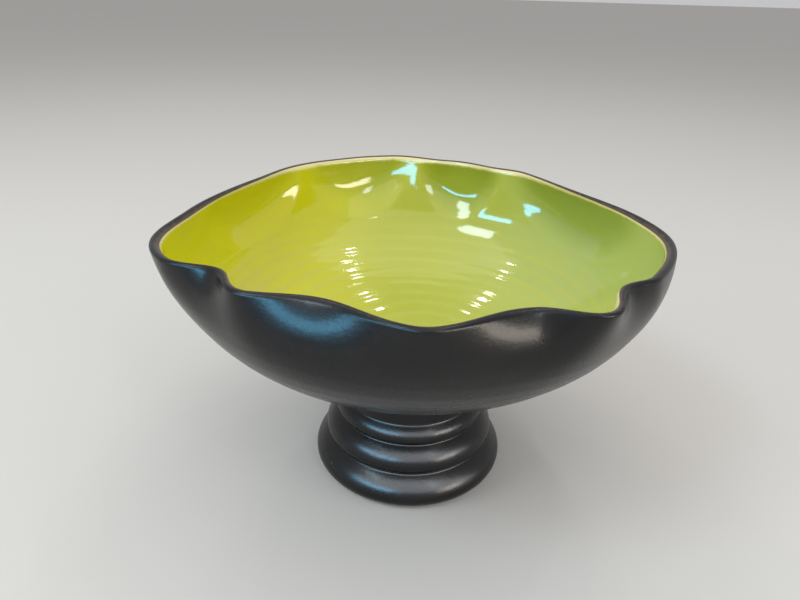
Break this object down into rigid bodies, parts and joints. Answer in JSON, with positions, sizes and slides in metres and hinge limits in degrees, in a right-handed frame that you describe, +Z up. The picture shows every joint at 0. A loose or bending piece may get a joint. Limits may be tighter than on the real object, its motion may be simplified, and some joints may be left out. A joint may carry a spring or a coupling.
{
  "type": "footed bowl",
  "caption": "Footed ceramic bowl with a hand-pinched wavy rim, glossy lime-green glaze inside and satin black glaze outside, on a hollow foot of rolled rings.",
  "frame": {"origin": "middle of the foot's base, on the surface that the bowl stands on, under the middle of the rim", "axes": "+Z up along the foot's axis, the front of the picture faces -Y, and +X is to the right of the picture"},
  "size_m": [0.1864, 0.1908, 0.116],
  "materials": {
    "clay": "bare fired pale clay, matt and slightly gritty",
    "slip": "fired clay slip, matt",
    "lime_glaze": "glossy lime-green glaze, paler where it thins over an edge",
    "black_glaze": "satin black glaze with a metallic sheen"
  },
  "bodies": {
    "root": {"bowl_body": "clay", "pedestal_foot": "clay", "luting_slip": "slip", "inner_glaze": "lime_glaze", "outer_glaze": "black_glaze", "foot_glaze": "black_glaze"}
  },
  "joints": []
}
